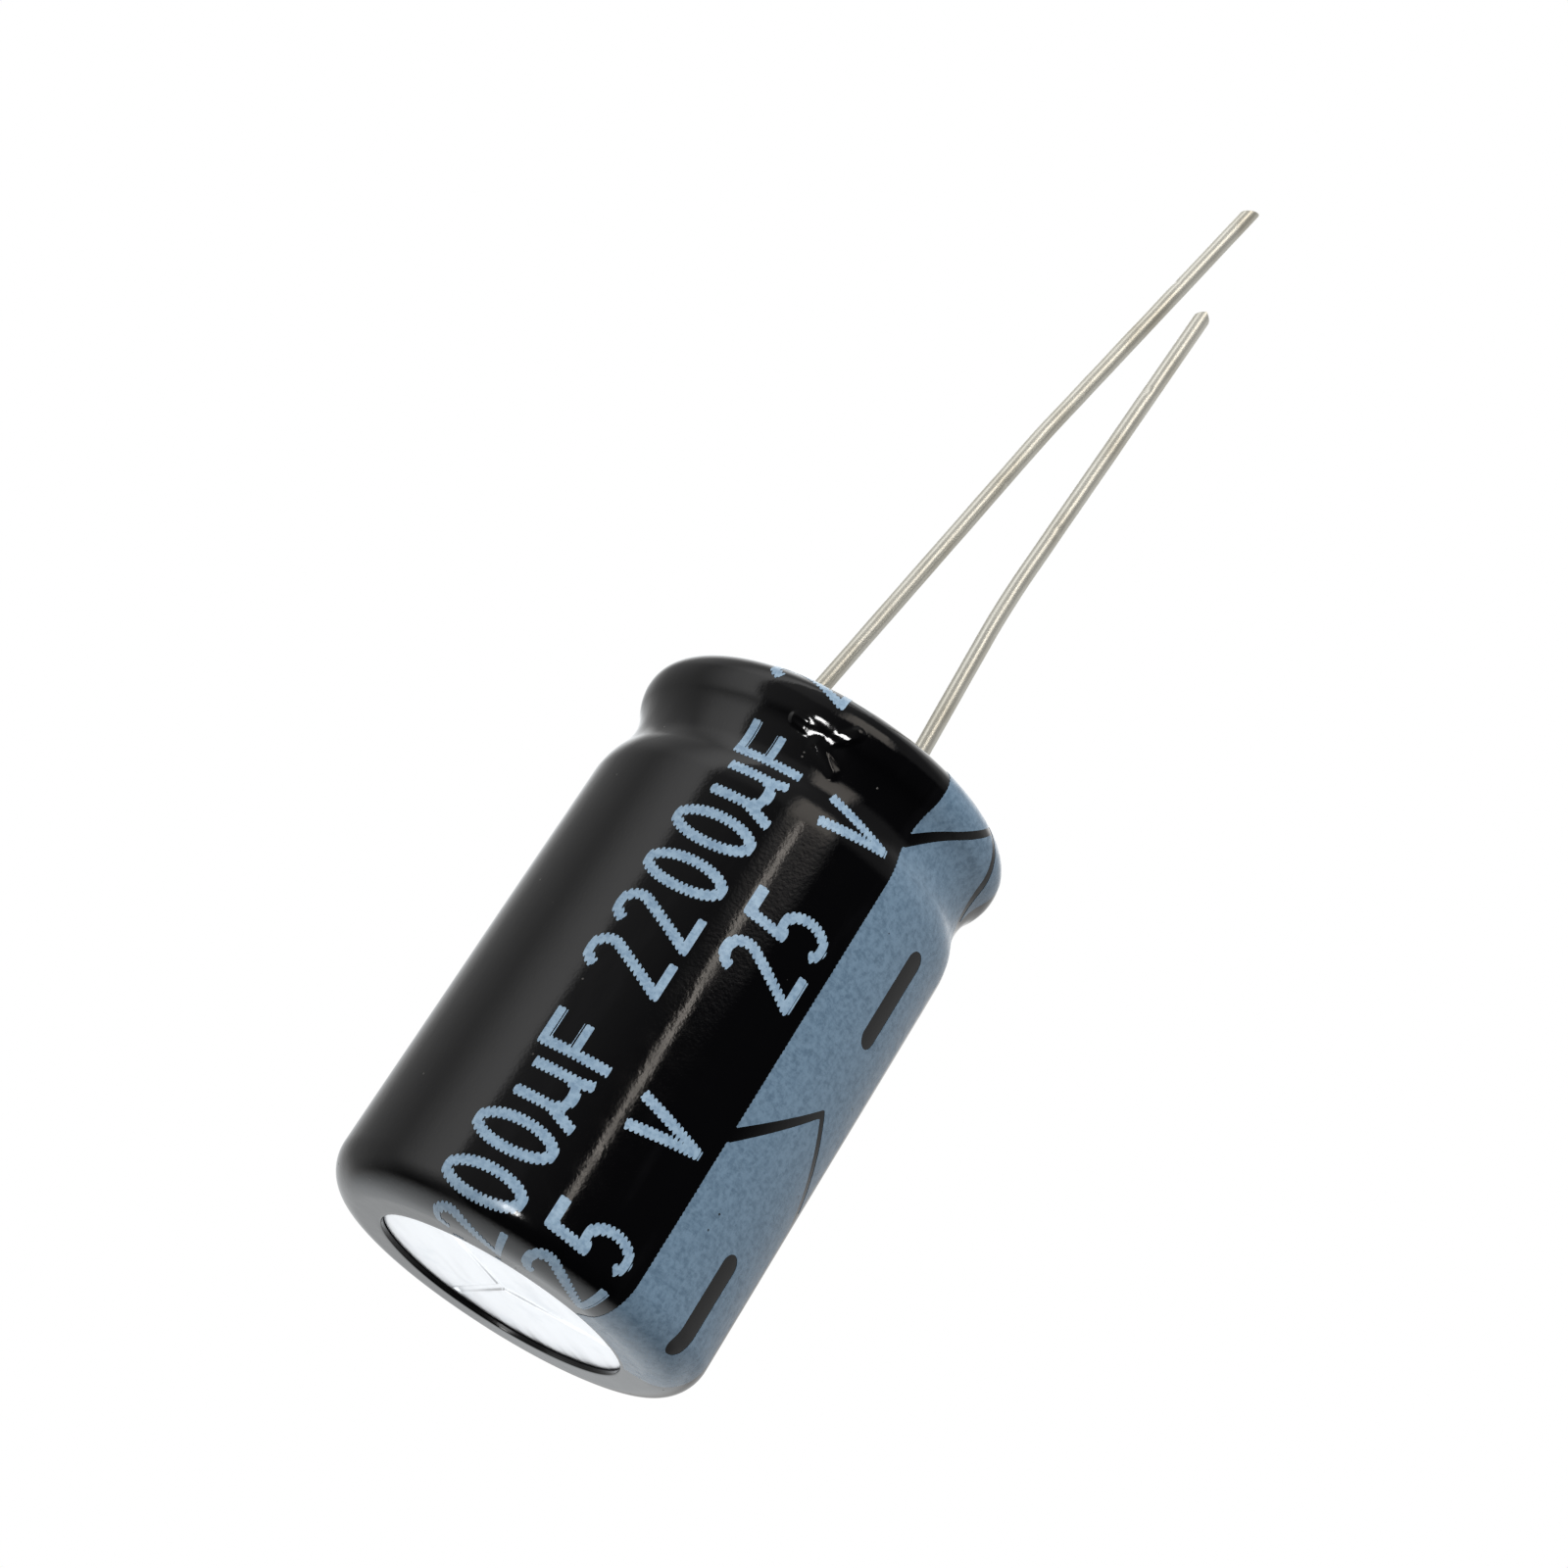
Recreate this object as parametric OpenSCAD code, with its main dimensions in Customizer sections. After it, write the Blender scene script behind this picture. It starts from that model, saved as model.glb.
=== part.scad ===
// Radial aluminium electrolytic capacitor, standing on its closed end with its leads up.
// The origin is the middle of the face that it stands on, and +Z runs along the can to the leads.
// The lead holes lie along X, with the negative lead on the +X side.

/* [Can] */
// Outside diameter of the bare aluminium can
can_d = 12.6; // [11:0.1:16]
// Height of the bare can, from its base to the top of its curled lip
can_h = 19.9; // [17:0.1:30]
// Wall of the drawn can
can_wall = 0.35; // [0.28:0.01:0.42]
// Thickness of the can's base, under the pressure vent
base_t = 0.45; // [0.36:0.01:0.55]
// Outside corner radius where the base turns up into the wall
corner_r = 1.17; // [0.9:0.01:1.5]
// How much the mouth end of the can is wider in radius than its body
mouth_swell = 0.09; // [0:0.01:0.15]

/* [Bead Groove] */
// How far the groove's middle lies below the top of the can
groove_drop = 2.45; // [2.2:0.05:3.2]
// Depth of the groove rolled into the can
groove_depth = 1; // [0.7:0.01:1.2]
// Radius at the bottom of the rolled groove
groove_r = 1.2; // [0.9:0.01:1.5]
// Height from the groove's middle to where each shoulder is straight again
groove_half = 1.9; // [1.6:0.05:2.1]
// Smallest inside radius of the shoulders beside the groove
shoulder_least = 0.05; // [0.02:0.01:0.2]

/* [Curled Lip] */
// Outside radius of the lip's curl
curl_r = 0.72; // [0.6:0.01:0.9]
// Angle through which the lip is rolled in and down
curl_turn = 195; // [150:1:230]

/* [Pressure Vent] */
// Length of each scored arm, from the middle of the base
vent_arm = 4; // [3:0.1:5]
// Width of the scored grooves at the surface
vent_w = 0.36; // [0.2:0.01:0.5]
// Depth of the scored grooves
vent_depth = 0.14; // [0.05:0.01:0.2]
// Number of arms in the score
vent_arms = 3; // [2:1:4]
// Direction of the first arm about the axis
vent_turn = -97; // [-180:1:180]

/* [Sleeve] */
// Wall of the shrunk sleeve
sleeve_t = 0.2; // [0.12:0.01:0.25]
// Clear diameter of the window that the sleeve leaves on the base
window_d = 8.5; // [6:0.1:9.5]
// Depth to which the sleeve sinks into the can's groove
sag_depth = 0.4; // [0.2:0.01:0.6]
// Radius at the bottom of the sleeve's own hollow, on its inner face
sag_r = 2.2; // [1.5:0.05:2.6]
// Angle through which the sleeve follows the lip's curl
sleeve_turn = 118; // [60:1:140]

/* [Rubber Seal] */
// Height of the rubber seal
bung_h = 4.2; // [3:0.1:6]
// How far the rubber stands above the middle of the lip's curl
bung_rise = 0.15; // [0:0.01:0.2]
// Diameter of the shallow dish pressed round each lead hole
dish_d = 3; // [2.4:0.1:3.6]
// Depth of that dish
dish_depth = 0.2; // [0.05:0.01:0.3]
// Diameter of the round rib in the middle of the seal's inner face
hub_d = 2.4; // [1:0.1:2.8]
// Height of that rib
hub_h = 0.5; // [0.2:0.05:0.8]

/* [Leads] */
// Distance between the two leads where they leave the seal
pitch = 5; // [4:0.1:6]
// Diameter of the tinned wire
wire_d = 0.6; // [0.45:0.01:0.8]
// Straight length of wire above the weld, before the first bend
wire_root = 2.6; // [1:0.1:6]
// Direction about the axis in which both wires are bent
bend_way = 36; // [0:1:60]
// First bend of the long positive wire
pos_lean = 7.6; // [0:0.1:12]
// Straight length after the positive wire's first bend
pos_mid = 12.9; // [5:0.1:20]
// Second, gentle bend of the positive wire
pos_curl = 1.8; // [0.5:0.1:5]
// Straight length at the positive wire's tip
pos_end = 12; // [4:0.1:20]
// First bend of the short negative wire, the other way
neg_lean = 2.3; // [0.5:0.1:6]
// Straight length after the negative wire's first bend
neg_mid = 4.3; // [2:0.1:10]
// Second bend of the negative wire, back towards the first
neg_curl = 4.5; // [0.5:0.1:8]
// Straight length at the negative wire's tip
neg_end = 12.3; // [4:0.1:20]
// Radius of the sharp bends near the seal
bend_r = 4; // [2:0.1:8]
// Radius of the gentle bends further out
bow_r = 40; // [20:1:80]
// How much thinner in radius a bend is than the straight wire
bend_thin = 0.01; // [0.005:0.005:0.03]
// Slant of the nipped wire ends from square
nip_slant = 35; // [0:1:50]

/* [Lead Tabs] */
// Diameter of the round aluminium boss that the rubber grips
boss_d = 1.9; // [1.5:0.05:2.2]
// How far the boss ends below the seal's outer face
boss_sink = 0.5; // [0.3:0.01:0.8]
// Height of the weld cone between boss and wire
weld_h = 0.35; // [0.2:0.01:0.5]
// Width of the weld's rim round the foot of the wire
weld_rim = 0.1; // [0.05:0.01:0.2]
// How far the boss reaches out under the seal
boss_tail = 0.25; // [0.15:0.01:0.4]
// Length over which the boss is pressed flat
flat_run = 1.2; // [0.8:0.05:1.3]
// Thickness of the flat tab
tab_t = 0.25; // [0.2:0.01:0.35]
// Width of the flat tab
tab_w = 2.2; // [1.8:0.1:2.6]
// Height at which the tab ends above the roll's lower end
tab_foot = 3; // [1:0.1:6]

/* [Wound Element] */
// Free height between the roll and the flattened end of the bosses
roll_gap = 0.1; // [0.05:0.05:1]
// Diameter of the hole left by the winding arbor
core_d = 3; // [2:0.1:4]
// Free space round the taped roll
roll_slack = 0.12; // [0.05:0.01:0.3]
// Radial step from one turn of foil and paper to the next, as the ends show it
turn_step = 0.6; // [0.4:0.05:0.9]
// Width of the spiral gap that shows between turns
turn_gap = 0.12; // [0.06:0.01:0.2]
// Depth of that gap in each end of the roll
turn_depth = 0.3; // [0.1:0.05:0.5]
// Thickness of the tape round the roll
tape_t = 0.08; // [0.05:0.01:0.15]
// Height of bare roll left above and below the tape
tape_inset = 1; // [0.5:0.1:3]
// Angle by which the tape's end laps over its start
tape_lap = 40; // [10:1:90]

/* [Fits] */
// Gap between the sleeve and the can
skin_gap = 0.02; // [0.01:0.005:0.04]
// Gap between the rubber and the metal that grips it or passes through it
seal_gap = 0.02; // [0.01:0.005:0.04]
// Gap round the tabs in the roll, and between the roll and its tape
wind_gap = 0.02; // [0.01:0.005:0.04]

/* [Hidden] */
$fn = 96;
eps = 0.01;
big = 60;
// Length by which a bend reaches into the straight wire at each end
bend_reach = wire_d / 12;
// The lip's curl is drawn as two sectors: the turn of the first, and how far they lap
first_turn = 130;
turn_lap = 10;

can_r = can_d / 2;
mouth_r = can_r + mouth_swell;
base_z = sleeve_t + skin_gap;
can_top = base_z + can_h;
curl_z = can_top - curl_r;
groove_z = can_top - groove_drop;
groove_floor = can_r - groove_depth;
sag_floor = can_r + skin_gap - sag_depth;
mouth_half = min(groove_half, curl_z - groove_z);

bung_top = curl_z + bung_rise;
bung_z = bung_top - bung_h;
boss_top = bung_top - boss_sink;
weld_z = boss_top + weld_h;
flat_z = bung_z - boss_tail - flat_run;

roll_top = flat_z - roll_gap;
roll_r = can_r - can_wall - roll_slack - 2 * tape_t - 3 * wind_gap;
tape_r = roll_r + wind_gap;
// The roll comes to rest on the base, or on the round inside corner if it is too wide for the flat
roll_past_flat = max(0, roll_r - can_r + corner_r);
corner_seat = corner_r - sqrt(pow(corner_r - can_wall, 2) - pow(roll_past_flat, 2));
roll_z = base_z + max(base_t, corner_seat) + wind_gap;
tab_end = roll_z + tab_foot;

pos_run = [[wire_root, pos_lean, bend_r], [pos_mid, pos_curl, bow_r], [pos_end, 0, 0]];
neg_run = [[wire_root, -neg_lean, bend_r], [neg_mid, neg_curl, bow_r], [neg_end, 0, 0]];

// A groove's hollow and the convex shoulder beside it are tangent arcs. Their radii add up to this,
// for a groove of the given depth whose curve is half_h high from its middle to the straight wall.
function arc_sum(half_h, depth) = (half_h * half_h + depth * depth) / (2 * depth);

// Radius of the hollow: bottom_r, or less where the can's wall needs the room for its shoulder
function hollow_of(half_h, depth, bottom_r) =
    min(bottom_r, arc_sum(half_h, depth) - can_wall - seal_gap - shoulder_least);

// Upper half of a rolled groove, cut from a wall of radius wall_r. grow moves the curve outwards
// and keeps it parallel to the one that the sizes describe.
module half_groove(wall_r, floor_r, bottom_r, half_h, grow) {
    depth = wall_r - floor_r;
    hollow_r = hollow_of(half_h, depth, bottom_r) - grow;
    fillet_r = arc_sum(half_h, depth) - hollow_r;
    meet_h = half_h * hollow_r / (hollow_r + fillet_r);
    fillet_x = wall_r + grow - fillet_r;
    intersection() {
        translate([floor_r + grow + hollow_r, 0]) circle(r = hollow_r);
        translate([0, -eps]) square([big, meet_h + eps]);
    }
    difference() {
        translate([fillet_x, meet_h]) square([big, half_h - meet_h]);
        translate([fillet_x, half_h]) circle(r = fillet_r);
    }
}

// Half section of the drawn can's outer form, filled to the axis, up to the middle of the curl.
// grow moves its outline outwards; the groove takes its own floor and bottom radius.
module can_form(grow, foot_z, floor_r, bottom_r, groove_grow) {
    difference() {
        union() {
            translate([0, base_z + corner_r])
                square([can_r + grow, groove_z - base_z - corner_r]);
            translate([0, groove_z]) square([mouth_r + grow, curl_z - groove_z]);
            intersection() {
                union() {
                    translate([can_r - corner_r, base_z + corner_r]) circle(r = corner_r + grow);
                    translate([0, base_z - grow]) square([can_r - corner_r, corner_r + grow + eps]);
                }
                translate([0, foot_z]) square([big, big]);
            }
        }
        translate([0, groove_z]) {
            mirror([0, 1]) half_groove(can_r + grow - groove_grow, floor_r, bottom_r,
                                       groove_half, groove_grow);
            half_groove(mouth_r + grow - groove_grow, floor_r, bottom_r, mouth_half, groove_grow);
        }
    }
}

// Sector of a ring about the origin, from the X axis through turn, which is under 180 degrees
module curl_band(inner_r, outer_r, turn) {
    difference() {
        circle(r = outer_r);
        circle(r = inner_r);
        rotate(turn) translate([-big, 0]) square([2 * big, big]);
        translate([-big, -big]) square([2 * big, big]);
    }
}

// Half section of the can's wall. grow thickens it on both sides, for the seal that it grips.
module can_wall_form(grow) {
    difference() {
        can_form(grow, 0, groove_floor, groove_r, grow);
        can_form(-can_wall - grow, base_z + base_t + grow, groove_floor, groove_r, -can_wall - grow);
    }
    inner_r = curl_r - can_wall - grow;
    second_start = first_turn - turn_lap;
    second_turn = curl_turn - second_start + grow / (curl_r - can_wall) * 180 / PI;
    translate([mouth_r - curl_r, curl_z]) {
        curl_band(inner_r, curl_r + grow, first_turn);
        rotate(second_start) curl_band(inner_r, curl_r + grow, second_turn);
    }
}

// One V-shaped arm of the vent score, cut upwards into the base
module vent_score() {
    translate([0, 0, base_z]) rotate([90, 0, 90]) linear_extrude(vent_arm)
        polygon([[-vent_w / 2, 0], [0, vent_depth], [vent_w / 2, 0], [0, -vent_depth]]);
}

module can() {
    color([0.78, 0.78, 0.8]) difference() {
        rotate_extrude() can_wall_form(0);
        for (i = [0 : vent_arms - 1])
            rotate(vent_turn + i * 360 / vent_arms) vent_score();
    }
}

module sleeve() {
    color([0.03, 0.03, 0.035]) rotate_extrude() {
        difference() {
            can_form(skin_gap + sleeve_t, 0, sag_floor, sag_r, sleeve_t);
            can_form(skin_gap, 0, sag_floor, sag_r, 0);
            translate([0, -eps]) square([window_d / 2, base_z + corner_r]);
        }
        translate([mouth_r - curl_r, curl_z])
            curl_band(curl_r + skin_gap, curl_r + skin_gap + sleeve_t, sleeve_turn);
    }
}

module bung() {
    color([0.1, 0.1, 0.1]) difference() {
        union() {
            rotate_extrude() difference() {
                intersection() {
                    translate([0, bung_z]) square([mouth_r, bung_h]);
                    union() {
                        can_form(-can_wall - seal_gap, base_z, groove_floor, groove_r,
                                 -can_wall - seal_gap);
                        translate([0, curl_z - eps]) square([mouth_r - curl_r, curl_r]);
                        translate([mouth_r - curl_r, curl_z])
                            circle(r = curl_r - can_wall - seal_gap);
                    }
                }
                can_wall_form(seal_gap);
            }
            translate([0, 0, bung_z - hub_h]) cylinder(d = hub_d, h = hub_h + eps);
        }
        for (side = [-1, 1]) translate([side * pitch / 2, 0, 0]) {
            translate([0, 0, bung_z - eps])
                cylinder(d = boss_d + 2 * seal_gap, h = bung_h + 2 * eps);
            translate([0, 0, bung_top - dish_depth])
                cylinder(d1 = boss_d + 2 * seal_gap, d2 = dish_d, h = dish_depth + eps);
        }
    }
}

// Arc of wire that starts upwards at the origin and leans towards +X. Bending has drawn it a
// little thinner, and it reaches a little way into the straight stretches at both its ends.
module wire_arc(turn, arc_r) {
    reach = bend_reach / arc_r * 180 / PI;
    translate([arc_r, 0, 0]) rotate([90, 0, 180]) rotate(-reach)
        rotate_extrude(angle = turn + 2 * reach) translate([arc_r, 0])
            circle(r = wire_d / 2 - bend_thin);
}

// Moves its children to the end of step i of a wire's run, in the wire's own direction
module step_end(run, i) {
    turn = run[i][1];
    way = sign(turn);
    arc_r = run[i][2];
    translate([way * arc_r * (1 - cos(turn)), 0, run[i][0] + arc_r * sin(abs(turn))])
        rotate([0, turn, 0]) children();
}

// Wire that follows a run of [straight length, bend, bend radius] steps
module bent_wire(run, i = 0) {
    cylinder(d = wire_d, h = run[i][0]);
    if (run[i][1] != 0)
        translate([0, 0, run[i][0]]) rotate(run[i][1] < 0 ? 180 : 0)
            wire_arc(abs(run[i][1]), run[i][2]);
    if (i + 1 < len(run)) step_end(run, i) bent_wire(run, i + 1);
}

// Block that nips the end off a wire at a slant, with its edge at the wire's far side
module nipper(slant) {
    rotate([0, slant, 0]) translate([-wire_d * 2, -wire_d * 2, 0]) cube(wire_d * 4);
}

// Lead wire standing on its weld, bent towards bend_way and nipped at its tip
module lead(side, run) {
    color([0.8, 0.78, 0.7]) translate([side * pitch / 2, 0, weld_z]) rotate(bend_way)
        difference() {
            bent_wire(run);
            step_end(run, 0) step_end(run, 1)
                translate([0, 0, run[2][0] - wire_d / 2 * tan(nip_slant)]) children();
        }
}

module positive_lead() lead(-1, pos_run) nipper(-nip_slant);

// The short lead was cut with side cutters, which leave a chisel end
module negative_lead() lead(1, neg_run) {
    nipper(nip_slant);
    nipper(-nip_slant);
}

// Aluminium tab: a round boss in the seal, pressed flat below it and wound into the roll
module tab(side) {
    color([0.85, 0.85, 0.86]) translate([side * pitch / 2, 0, 0]) {
        translate([0, 0, boss_top]) cylinder(d1 = boss_d, d2 = wire_d + 2 * weld_rim, h = weld_h);
        translate([0, 0, bung_z - boss_tail])
            cylinder(d = boss_d, h = boss_top - bung_z + boss_tail);
        intersection() {
            rotate([90, 0, 0]) linear_extrude(tab_w + boss_d, center = true)
                polygon([[-tab_t / 2, flat_z], [tab_t / 2, flat_z],
                         [boss_d / 2, flat_z + flat_run], [-boss_d / 2, flat_z + flat_run]]);
            translate([0, 0, flat_z])
                cylinder(d1 = tab_w, d2 = boss_d, h = flat_run);
        }
        intersection() {
            translate([-tab_t / 2, -tab_w / 2, tab_end])
                cube([tab_t, tab_w, flat_z - tab_end + eps]);
            union() {
                translate([0, 0, tab_end + tab_w / 2]) rotate([0, 90, 0])
                    cylinder(d = tab_w, h = 2 * tab_t, center = true);
                translate([-tab_t, -tab_w / 2, tab_end + tab_w / 2])
                    cube([2 * tab_t, tab_w, flat_z - tab_end]);
            }
        }
    }
}

module positive_tab() tab(-1);

module negative_tab() tab(1);

// Two-centre spiral gap, built from half rings that grow by half a step each
module turn_spiral(depth) {
    first_r = core_d / 2 + turn_step;
    halves = floor((roll_r - first_r - turn_step / 2) / (turn_step / 2));
    for (k = [0 : halves - 1]) {
        ring_r = first_r + k * turn_step / 2;
        lower = k % 2;
        translate([lower * turn_step / 2, 0, 0]) rotate(lower * 180)
            rotate_extrude(angle = 180) translate([ring_r - turn_gap / 2, 0])
                square([turn_gap, depth]);
    }
}

module element() {
    color([0.72, 0.66, 0.55]) difference() {
        translate([0, 0, roll_z]) cylinder(r = roll_r, h = roll_top - roll_z);
        translate([0, 0, roll_z - eps]) cylinder(d = core_d, h = roll_top - roll_z + 2 * eps);
        translate([0, 0, roll_top - turn_depth]) turn_spiral(turn_depth + eps);
        translate([0, 0, roll_z - eps]) turn_spiral(turn_depth + eps);
        for (side = [-1, 1])
            translate([side * pitch / 2 - tab_t / 2 - wind_gap, -tab_w / 2 - wind_gap,
                       tab_end - wind_gap])
                cube([tab_t + 2 * wind_gap, tab_w + 2 * wind_gap, roll_top - tab_end + 2 * wind_gap]);
    }
}

// Tape once round the roll, with its end lapped over its start
module fixing_tape() {
    tape_h = roll_top - roll_z - 2 * tape_inset;
    color([0.9, 0.8, 0.5, 0.9]) translate([0, 0, roll_z + tape_inset]) {
        rotate_extrude() translate([tape_r, 0]) square([tape_t, tape_h]);
        rotate_extrude(angle = tape_lap) translate([tape_r + tape_t, 0]) square([tape_t, tape_h]);
    }
}

sleeve();
can();
bung();
positive_lead();
negative_lead();
positive_tab();
negative_tab();
element();
fixing_tape();
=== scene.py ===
# Looks of a radial aluminium electrolytic capacitor, standing on its closed end with its leads up.
# Lengths here are in millimetres, as in the part's source, and become metres where a mesh is made.
# A place on the sleeve is given by its azimuth about +Z and its run, the distance along the
# sleeve's half section from the edge of the window in its closed end to the lip at its mouth.
import math

import bpy
import numpy as np
from mathutils import Matrix, Vector


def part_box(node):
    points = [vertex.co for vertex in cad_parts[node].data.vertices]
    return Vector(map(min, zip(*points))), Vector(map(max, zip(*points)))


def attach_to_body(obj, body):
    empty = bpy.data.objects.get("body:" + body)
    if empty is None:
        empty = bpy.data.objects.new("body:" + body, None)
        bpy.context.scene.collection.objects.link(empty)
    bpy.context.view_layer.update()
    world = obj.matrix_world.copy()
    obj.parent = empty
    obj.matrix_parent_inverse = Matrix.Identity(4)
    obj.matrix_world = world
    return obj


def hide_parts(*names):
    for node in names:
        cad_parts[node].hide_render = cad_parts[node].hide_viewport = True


MM = 0.001
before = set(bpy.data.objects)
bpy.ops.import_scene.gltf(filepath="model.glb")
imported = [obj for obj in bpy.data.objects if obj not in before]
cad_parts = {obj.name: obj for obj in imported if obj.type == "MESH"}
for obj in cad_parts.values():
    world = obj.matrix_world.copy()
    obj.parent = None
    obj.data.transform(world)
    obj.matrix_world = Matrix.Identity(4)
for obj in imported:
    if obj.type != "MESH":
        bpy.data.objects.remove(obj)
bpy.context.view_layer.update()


def box_mm(node):
    """Lowest and highest corner of a CAD node in millimetres"""
    return tuple(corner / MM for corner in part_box(node))


# Sizes that the frame gives
SLEEVE_LOW, SLEEVE_HIGH = box_mm("sleeve")
CAN_LOW, CAN_HIGH = box_mm("can")
BUNG_LOW, BUNG_HIGH = box_mm("bung")
TAB_HIGH = box_mm("positive_tab")[1]

# Driving sizes of the can and its sleeve
CAN_WALL = 0.35
BASE_T = 0.45
CORNER_R = 1.17
MOUTH_SWELL = 0.09
GROOVE_DROP = 2.45
GROOVE_DEPTH = 1.0
GROOVE_R = 1.2
GROOVE_HALF = 1.9
CURL_R = 0.72
CURL_TURN = 195
SLEEVE_WALL = 0.2
SKIN_GAP = 0.02
WINDOW_R = 4.25
SAG_DEPTH = 0.4
SAG_R = 2.2
SLEEVE_TURN = 118
SEAL_GAP = 0.02

# Driving sizes of the seal and the leads. A lead's run is its stretches, each a straight length, the
# bend after it in degrees and that bend's radius.
PITCH = 5.0
WIRE_R = 0.3
BEND_WAY = 36
POSITIVE_RUN = ((2.6, 7.6, 4), (12.9, 1.8, 40), (12.0, 0, 0))
NEGATIVE_RUN = ((2.6, -2.3, 4), (4.3, 4.5, 40), (12.3, 0, 0))
NIP_SLANT = 35
BOSS_R = 0.95
WELD_H = 0.35
DISH_R = 1.5
DISH_DEPTH = 0.2
HUB_R = 1.2
HUB_H = 0.5

# Fine sizes of the finish
SKIN_BACK = 0.02
CUT_ROUND = 0.05
INK_LIFT = 0.012
INK_SUNK = 0.004

# Places worked out from the sizes
CAN_R = CAN_HIGH.x - MOUTH_SWELL
CURL_Z = CAN_HIGH.z - CURL_R
CURL_X = CAN_HIGH.x - CURL_R
GROOVE_Z = CAN_HIGH.z - GROOVE_DROP
CORNER_X = CAN_R - CORNER_R
CORNER_Z = CAN_LOW.z + CORNER_R
WALL_R = SLEEVE_HIGH.x - MOUTH_SWELL


class Outline:
    """A half section in (radius, height) of straight runs and arcs, measured along its length"""

    def __init__(self, radius, height):
        self.end = np.array((radius, height), float)
        self.parts = []
        self.stops = [0.0]

    def _add(self, length, part):
        self.parts.append(part)
        self.stops.append(self.stops[-1] + length)

    def line_to(self, radius, height):
        start = self.end
        self.end = np.array((radius, height), float)
        length = float(np.linalg.norm(self.end - start))
        way = (self.end - start) / length
        side = np.array((way[1], -way[0]))
        self._add(length, lambda run: (start + run[:, None] * way, np.broadcast_to(side, (len(run), 2))))

    def arc(self, centre, radius, first, last):
        """Arc from angle first to last in degrees. The outer side is outside it if last > first."""
        sign = 1 if last > first else -1
        middle = np.array(centre, float)

        def part(run):
            angle = math.radians(first) + sign * run / radius
            spoke = np.stack([np.cos(angle), np.sin(angle)], -1)
            return middle + radius * spoke, sign * spoke

        length = radius * math.radians(abs(last - first))
        self._add(length, part)
        self.end = part(np.array([length]))[0][0]

    def at(self, run):
        """Points and outward normals at the distances in the array run"""
        flat = np.asarray(run, float).ravel()
        point = np.zeros((len(flat), 2))
        normal = np.zeros((len(flat), 2))
        index = np.clip(np.searchsorted(self.stops, flat, side="right") - 1, 0, len(self.parts) - 1)
        for k, part in enumerate(self.parts):
            here = index == k
            if here.any():
                point[here], normal[here] = part(flat[here] - self.stops[k])
        return point.reshape(np.shape(run) + (2,)), normal.reshape(np.shape(run) + (2,))


def arc_sum(half_h, depth):
    """Sum of the radii of a groove's hollow and the shoulder tangent to it"""
    return (half_h**2 + depth**2) / (2 * depth)


def crimped_outline(start_r, foot_z, corner_r, wall_r, mouth_r, floor_r, hollow_r, lip_r, turn):
    """Half section from the closed end, up the wall, through the crimped groove and round the lip"""
    line = Outline(start_r, foot_z)
    line.line_to(CORNER_X, foot_z)
    line.arc((CORNER_X, CORNER_Z), corner_r, -90, 0)
    low_fillet = arc_sum(GROOVE_HALF, wall_r - floor_r) - hollow_r
    low_turn = math.degrees(math.asin(GROOVE_HALF / (low_fillet + hollow_r)))
    line.line_to(wall_r, GROOVE_Z - GROOVE_HALF)
    line.arc((wall_r - low_fillet, GROOVE_Z - GROOVE_HALF), low_fillet, 0, low_turn)
    high_half = CURL_Z - GROOVE_Z
    high_fillet = arc_sum(high_half, mouth_r - floor_r) - hollow_r
    high_turn = math.degrees(math.asin(high_half / (high_fillet + hollow_r)))
    line.arc((floor_r + hollow_r, GROOVE_Z), hollow_r, 180 + low_turn, 180 - high_turn)
    line.arc((mouth_r - high_fillet, CURL_Z), high_fillet, -high_turn, 0)
    line.arc((CURL_X, CURL_Z), lip_r, 0, turn)
    return line


SLEEVE_LINE = crimped_outline(
    WINDOW_R, SLEEVE_LOW.z, CORNER_R + SKIN_GAP + SLEEVE_WALL, WALL_R, SLEEVE_HIGH.x,
    CAN_R + SKIN_GAP + SLEEVE_WALL - SAG_DEPTH, SAG_R - SLEEVE_WALL,
    CURL_R + SKIN_GAP + SLEEVE_WALL, SLEEVE_TURN)
CAN_LINE = crimped_outline(
    0, CAN_LOW.z, CORNER_R, CAN_R, CAN_HIGH.x, CAN_R - GROOVE_DEPTH, GROOVE_R, CURL_R, CURL_TURN)
RUN_CORNER, RUN_WALL, RUN_GROOVE = SLEEVE_LINE.stops[1:4]
RUN_HOLLOW, RUN_SHOULDER, RUN_LIP, RUN_END = SLEEVE_LINE.stops[4:8]


def waves(seed, count, turns, per_mm, height):
    """Seeded sum of smooth waves over azimuth and run that closes on itself round the axis"""
    source = np.random.default_rng(seed)
    around = source.integers(turns[0], turns[1] + 1, count) * source.choice((-1, 1), count)
    along = source.uniform(per_mm[0], per_mm[1], count) * 2 * math.pi
    phase = source.uniform(0, 2 * math.pi, count)
    share = source.uniform(0.5, 1, count)
    share *= height / share.sum()

    def wave(azimuth, run):
        total = 0
        for k in range(count):
            total = total + share[k] * np.cos(around[k] * azimuth + along[k] * run + phase[k])
        return total

    return wave


def bump_at(azimuth, run, middle, middle_run, half_arc, half_run):
    """Smooth hump of height 1 at a place on the sleeve"""
    turn = (azimuth - math.radians(middle) + math.pi) % (2 * math.pi) - math.pi
    return np.exp(-((turn * WALL_R / half_arc) ** 2) - ((run - middle_run) / half_run) ** 2)


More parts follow.
